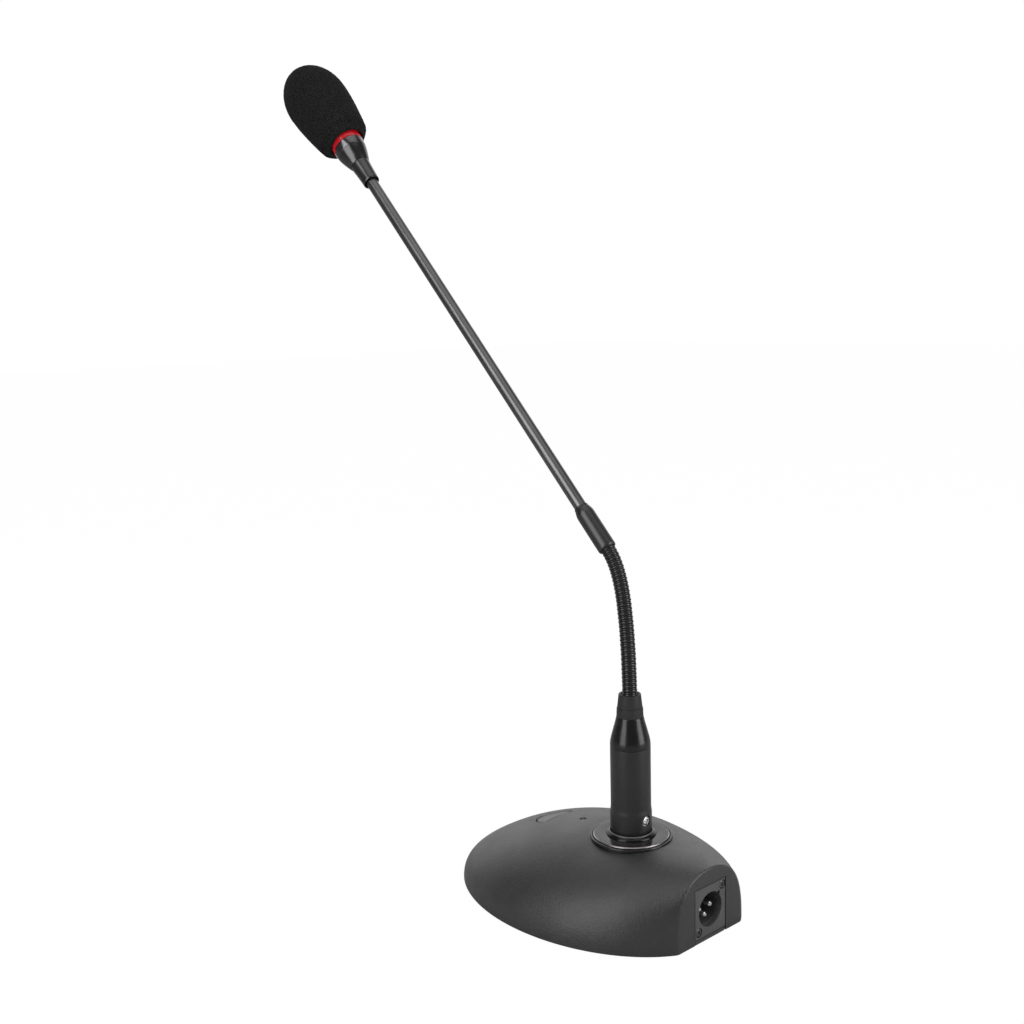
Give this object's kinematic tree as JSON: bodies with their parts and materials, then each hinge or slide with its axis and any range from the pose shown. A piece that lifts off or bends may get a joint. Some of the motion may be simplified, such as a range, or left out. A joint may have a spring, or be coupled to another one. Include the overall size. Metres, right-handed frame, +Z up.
{
  "type": "gooseneck desk microphone",
  "caption": "Gooseneck desk microphone: foam-covered head with a red light ring, slim arm, bendable neck, plug-in stem and a domed base with a talk button and a rear output socket.",
  "frame": {"origin": "on the socket axis, at the desk surface the rubber pad rests on", "axes": "+Z up along the stem, +Y towards the rear output face, the head leans towards -Y, +X to the right seen from the rear"},
  "size_m": [0.118, 0.3137, 0.4401],
  "materials": {
    "base_shell": "grained satin black",
    "bottom_cover": "matt black",
    "ballast_plate": "plain rolled steel",
    "rubber_pad": "matt black rubber",
    "cover_screws": "black oxide",
    "socket_bezel": "gloss black",
    "socket_flange": "gloss black with a fine speckle",
    "socket_collar": "gloss black",
    "socket_housing": "matt black",
    "socket_insert": "matt black",
    "socket_contacts": "bright",
    "socket_nut": "machined",
    "output_plate": "fine satin black",
    "output_insert": "matt black",
    "output_pins": "bright silver plate",
    "output_screws": "black oxide",
    "status_led": "tinted lens",
    "button_switch": "matt black",
    "circuit_board": "green solder mask",
    "board_screws": "zinc",
    "talk_button": "satin black",
    "switch_plunger": "ivory",
    "connector_barrel": "satin black",
    "plug_shell": "nickel plate",
    "plug_insert": "matt black",
    "plug_pins": "bright silver plate",
    "set_screw": "bright",
    "barrel_shoulder": "gloss black",
    "flex_boot": "satin black rubber",
    "gooseneck": "black wound wire",
    "ferrule": "satin dark grey",
    "rigid_tube": "semi-gloss black",
    "head_sleeve": "satin metallic grey",
    "head_cone": "satin metallic grey",
    "head_band": "satin metallic grey",
    "light_ring": "translucent red",
    "ring_led_board": "green solder mask",
    "capsule_housing": "anodised dark grey",
    "capsule_gasket": "matt black rubber",
    "capsule": "plain",
    "capsule_grille": "perforated",
    "foam_windscreen": "open-cell black foam"
  },
  "bodies": {
    "base": {"base_shell": "base_shell", "bottom_cover": "bottom_cover", "ballast_plate": "ballast_plate", "rubber_pad": "rubber_pad", "cover_screws": "cover_screws", "socket_bezel": "socket_bezel", "socket_flange": "socket_flange", "socket_collar": "socket_collar", "socket_housing": "socket_housing", "socket_insert": "socket_insert", "socket_contacts": "socket_contacts", "socket_nut": "socket_nut", "output_plate": "output_plate", "output_insert": "output_insert", "output_pins": "output_pins", "output_screws": "output_screws", "status_led": "status_led", "button_switch": "button_switch", "circuit_board": "circuit_board", "board_screws": "board_screws"},
    "button": {"talk_button": "talk_button", "switch_plunger": "switch_plunger"},
    "stem": {"connector_barrel": "connector_barrel", "plug_shell": "plug_shell", "plug_insert": "plug_insert", "plug_pins": "plug_pins", "set_screw": "set_screw", "barrel_shoulder": "barrel_shoulder", "flex_boot": "flex_boot", "gooseneck_root": "gooseneck"},
    "link_1": {"goose_link_1": "gooseneck"},
    "link_2": {"goose_link_2": "gooseneck"},
    "link_3": {"goose_link_3": "gooseneck"},
    "link_4": {"goose_link_4": "gooseneck"},
    "link_5": {"goose_link_5": "gooseneck"},
    "link_6": {"goose_link_6": "gooseneck"},
    "link_7": {"goose_link_7": "gooseneck"},
    "link_8": {"goose_link_8": "gooseneck"},
    "link_9": {"goose_link_9": "gooseneck"},
    "link_10": {"goose_link_10": "gooseneck"},
    "arm": {"gooseneck_end": "gooseneck", "ferrule": "ferrule", "rigid_tube": "rigid_tube", "head_sleeve": "head_sleeve", "head_cone": "head_cone", "head_band": "head_band", "light_ring": "light_ring", "ring_led_board": "ring_led_board", "capsule_housing": "capsule_housing", "capsule_gasket": "capsule_gasket", "capsule": "capsule", "capsule_grille": "capsule_grille"},
    "windscreen": {"foam_windscreen": "foam_windscreen"}
  },
  "joints": [
    {"name": "stem_unplug", "type": "slide", "parent": "base", "child": "stem", "axis": [0, 0, 1], "range_m": [0, 0.02]},
    {"name": "talk_press", "type": "slide", "parent": "base", "child": "button", "axis": [0, 0.2656, -0.9641], "range_m": [0, 0.0014], "stiffness_N_per_m": 1400, "springref_m": -0.0006},
    {"name": "neck_bend_1", "type": "hinge", "parent": "stem", "child": "link_1", "pos_m": [0, 0, 0.11392], "axis": [1, 0, 0], "range_deg": [-2, 12]},
    {"name": "neck_side_1", "type": "hinge", "parent": "link_1", "child": "link_2", "pos_m": [0, -0.00029, 0.12228], "axis": [0, 0.9994, 0.035], "range_deg": [-9, 9]},
    {"name": "neck_bend_2", "type": "hinge", "parent": "link_2", "child": "link_3", "pos_m": [0, -0.00056, 0.12978], "axis": [1, 0, 0], "range_deg": [-2, 12]},
    {"name": "neck_side_2", "type": "hinge", "parent": "link_3", "child": "link_4", "pos_m": [0, -0.00108, 0.13681], "axis": [0, 0.9972, 0.0744], "range_deg": [-9, 9]},
    {"name": "neck_bend_3", "type": "hinge", "parent": "link_4", "child": "link_5", "pos_m": [0, -0.00158, 0.14354], "axis": [1, 0, 0], "range_deg": [-2, 12]},
    {"name": "neck_side_3", "type": "hinge", "parent": "link_5", "child": "link_6", "pos_m": [0, -0.00241, 0.15001], "axis": [0, 0.9919, 0.1269], "range_deg": [-9, 9]},
    {"name": "top_bend_1", "type": "hinge", "parent": "link_6", "child": "link_7", "pos_m": [0, -0.00322, 0.15631], "axis": [1, 0, 0], "range_deg": [-4, 0.8]},
    {"name": "top_bend_2", "type": "hinge", "parent": "link_7", "child": "link_8", "pos_m": [0, -0.00443, 0.16239], "axis": [1, 0, 0], "range_deg": [-4.3, 0.8]},
    {"name": "top_bend_3", "type": "hinge", "parent": "link_8", "child": "link_9", "pos_m": [0, -0.00606, 0.16824], "axis": [1, 0, 0], "range_deg": [-6.3, 1.2]},
    {"name": "top_bend_4", "type": "hinge", "parent": "link_9", "child": "link_10", "pos_m": [0, -0.00829, 0.17379], "axis": [1, 0, 0], "range_deg": [-9, 1.7]},
    {"name": "top_bend_5", "type": "hinge", "parent": "link_10", "child": "arm", "pos_m": [0, -0.01131, 0.17883], "axis": [1, 0, 0], "range_deg": [-12.7, 2.4]},
    {"name": "windscreen_off", "type": "slide", "parent": "arm", "child": "windscreen", "axis": [0, -0.6896, 0.7242], "range_m": [0, 0.045]}
  ]
}
